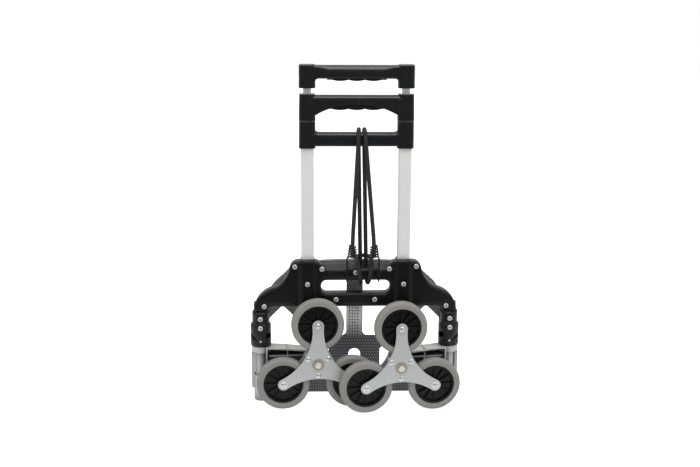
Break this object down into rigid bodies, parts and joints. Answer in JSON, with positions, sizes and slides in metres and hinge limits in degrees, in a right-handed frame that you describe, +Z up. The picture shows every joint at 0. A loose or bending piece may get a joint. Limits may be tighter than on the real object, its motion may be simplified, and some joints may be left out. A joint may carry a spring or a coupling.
{
  "type": "folding stair-climbing hand truck",
  "caption": "Folding hand truck with telescopic handles, a hinged toe plate, swing-out arms and three-wheel stars for stairs, with a bungee cord lashed to its frame",
  "frame": {"origin": "bottom centre of the folded truck's bounding box, on the floor under its feet and wheels", "axes": "+Z up along the telescopic tubes, +X to the right seen from the wheel side, +Y away from the wheel side towards the folded toe plate"},
  "size_m": [0.481, 0.1472, 0.775],
  "materials": {
    "black_moulding": "satin moulded black",
    "zinc_screws": "bright zinc",
    "anodised_tube": "matte anodised",
    "glide_nylon": "natural moulded",
    "post_steel": "zinc plated tube",
    "cast_aluminium": "die cast",
    "pin_steel": "zinc plated",
    "star_plate_steel": "zinc plated sheet",
    "bush_brass": "dull",
    "wheel_rim_plastic": "satin moulded black",
    "grey_tyre": "matte grey rubber",
    "toe_plate_metal": "matte grey coating",
    "bungee_cord": "woven sheath over rubber",
    "hook_wire": "black coated wire"
  },
  "bodies": {
    "frame": {"yoke_rear_shell": "black_moulding", "yoke_front_shell": "black_moulding", "yoke_screws": "zinc_screws", "collar_screws": "zinc_screws", "left_outer_tube": "anodised_tube", "right_outer_tube": "anodised_tube", "outer_glide_bushes": "glide_nylon", "upper_crossbar": "black_moulding", "left_post": "post_steel", "right_post": "post_steel", "left_cam_collar": "black_moulding", "right_cam_collar": "black_moulding", "left_foot": "cast_aluminium", "right_foot": "cast_aluminium", "hinge_pins": "pin_steel", "bungee_cord": "bungee_cord", "left_bungee_hook": "hook_wire", "right_bungee_hook": "hook_wire"},
    "middle_stage": {"left_middle_tube": "anodised_tube", "right_middle_tube": "anodised_tube", "middle_glide_bushes": "glide_nylon", "lower_handle": "black_moulding"},
    "lower_lever": {"lower_release_lever": "black_moulding"},
    "inner_stage": {"left_inner_tube": "anodised_tube", "right_inner_tube": "anodised_tube", "inner_glide_bushes": "glide_nylon", "top_handle": "black_moulding"},
    "upper_lever": {"upper_release_lever": "black_moulding"},
    "toe_plate": {"toe_plate": "toe_plate_metal"},
    "left_arm": {"left_wheel_arm": "cast_aluminium", "left_star_axle": "pin_steel"},
    "left_follower": {"left_cam_follower": "cast_aluminium"},
    "left_star": {"left_star_front_plate": "star_plate_steel", "left_star_rear_plate": "star_plate_steel", "left_star_bush": "bush_brass", "left_star_rivets": "pin_steel", "left_wheel_pins": "pin_steel"},
    "left_top_wheel": {"left_top_rim": "wheel_rim_plastic", "left_top_tyre": "grey_tyre"},
    "left_low_left_wheel": {"left_low_left_rim": "wheel_rim_plastic", "left_low_left_tyre": "grey_tyre"},
    "left_low_right_wheel": {"left_low_right_rim": "wheel_rim_plastic", "left_low_right_tyre": "grey_tyre"},
    "right_arm": {"right_wheel_arm": "cast_aluminium", "right_star_axle": "pin_steel"},
    "right_follower": {"right_cam_follower": "cast_aluminium"},
    "right_star": {"right_star_front_plate": "star_plate_steel", "right_star_rear_plate": "star_plate_steel", "right_star_bush": "bush_brass", "right_star_rivets": "pin_steel", "right_wheel_pins": "pin_steel"},
    "right_top_wheel": {"right_top_rim": "wheel_rim_plastic", "right_top_tyre": "grey_tyre"},
    "right_low_left_wheel": {"right_low_left_rim": "wheel_rim_plastic", "right_low_left_tyre": "grey_tyre"},
    "right_low_right_wheel": {"right_low_right_rim": "wheel_rim_plastic", "right_low_right_tyre": "grey_tyre"}
  },
  "joints": [
    {"name": "middle_stage_slide", "type": "slide", "parent": "frame", "child": "middle_stage", "axis": [0, 0, 1], "range_m": [0, 0.165]},
    {"name": "inner_stage_slide", "type": "slide", "parent": "middle_stage", "child": "inner_stage", "axis": [0, 0, 1], "range_m": [0, 0.165]},
    {"name": "lower_lever_squeeze", "type": "slide", "parent": "middle_stage", "child": "lower_lever", "axis": [0, 0, 1], "range_m": [0, 0.006], "stiffness_N_per_m": 400, "springref_m": -0.004},
    {"name": "upper_lever_squeeze", "type": "slide", "parent": "inner_stage", "child": "upper_lever", "axis": [0, 0, 1], "range_m": [0, 0.006], "stiffness_N_per_m": 400, "springref_m": -0.004},
    {"name": "toe_plate_hinge", "type": "hinge", "parent": "frame", "child": "toe_plate", "pos_m": [0, 0.04007, 0.036], "axis": [-1, 0, 0], "range_deg": [0, 90]},
    {"name": "left_arm_swing", "type": "hinge", "parent": "frame", "child": "left_arm", "pos_m": [-0.217, 0.03007, 0.1], "axis": [0, 0, -1], "range_deg": [0, 94.5]},
    {"name": "left_follower_climb", "type": "slide", "parent": "left_arm", "child": "left_follower", "axis": [0, 0, 1], "range_m": [0, 0.0168]},
    {"name": "left_star_turn", "type": "hinge", "parent": "left_arm", "child": "left_star", "pos_m": [-0.0866, -0.02086, 0.1055], "axis": [0.0785, -0.9969, 0], "continuous": true},
    {"name": "left_top_wheel_roll", "type": "hinge", "parent": "left_star", "child": "left_top_wheel", "pos_m": [-0.0866, -0.02086, 0.1965], "axis": [0.0785, -0.9969, 0], "continuous": true},
    {"name": "left_low_left_wheel_roll", "type": "hinge", "parent": "left_star", "child": "left_low_left_wheel", "pos_m": [-0.16517, -0.02704, 0.06], "axis": [0.0785, -0.9969, 0], "continuous": true},
    {"name": "left_low_right_wheel_roll", "type": "hinge", "parent": "left_star", "child": "left_low_right_wheel", "pos_m": [-0.00804, -0.01467, 0.06], "axis": [0.0785, -0.9969, 0], "continuous": true},
    {"name": "right_arm_swing", "type": "hinge", "parent": "frame", "child": "right_arm", "pos_m": [0.217, 0.03007, 0.1], "axis": [0, 0, 1], "range_deg": [0, 83]},
    {"name": "right_follower_climb", "type": "slide", "parent": "right_arm", "child": "right_follower", "axis": [0, 0, 1], "range_m": [0, 0.01476]},
    {"name": "right_star_turn", "type": "hinge", "parent": "right_arm", "child": "right_star", "pos_m": [0.09937, -0.04583, 0.1055], "axis": [0.1219, -0.9925, 0], "continuous": true},
    {"name": "right_top_wheel_roll", "type": "hinge", "parent": "right_star", "child": "right_top_wheel", "pos_m": [0.09937, -0.04583, 0.1965], "axis": [0.1219, -0.9925, 0], "continuous": true},
    {"name": "right_low_left_wheel_roll", "type": "hinge", "parent": "right_star", "child": "right_low_left_wheel", "pos_m": [0.02115, -0.05544, 0.06], "axis": [0.1219, -0.9925, 0], "continuous": true},
    {"name": "right_low_right_wheel_roll", "type": "hinge", "parent": "right_star", "child": "right_low_right_wheel", "pos_m": [0.17759, -0.03623, 0.06], "axis": [0.1219, -0.9925, 0], "continuous": true}
  ],
  "couplings": [
    {"joint": "left_arm_swing", "follows": "toe_plate_hinge", "ratio": 1.05},
    {"joint": "left_follower_climb", "follows": "toe_plate_hinge", "m_per_rad": 0.010695},
    {"joint": "right_arm_swing", "follows": "toe_plate_hinge", "ratio": 0.92221},
    {"joint": "right_follower_climb", "follows": "toe_plate_hinge", "m_per_rad": 0.009393}
  ]
}
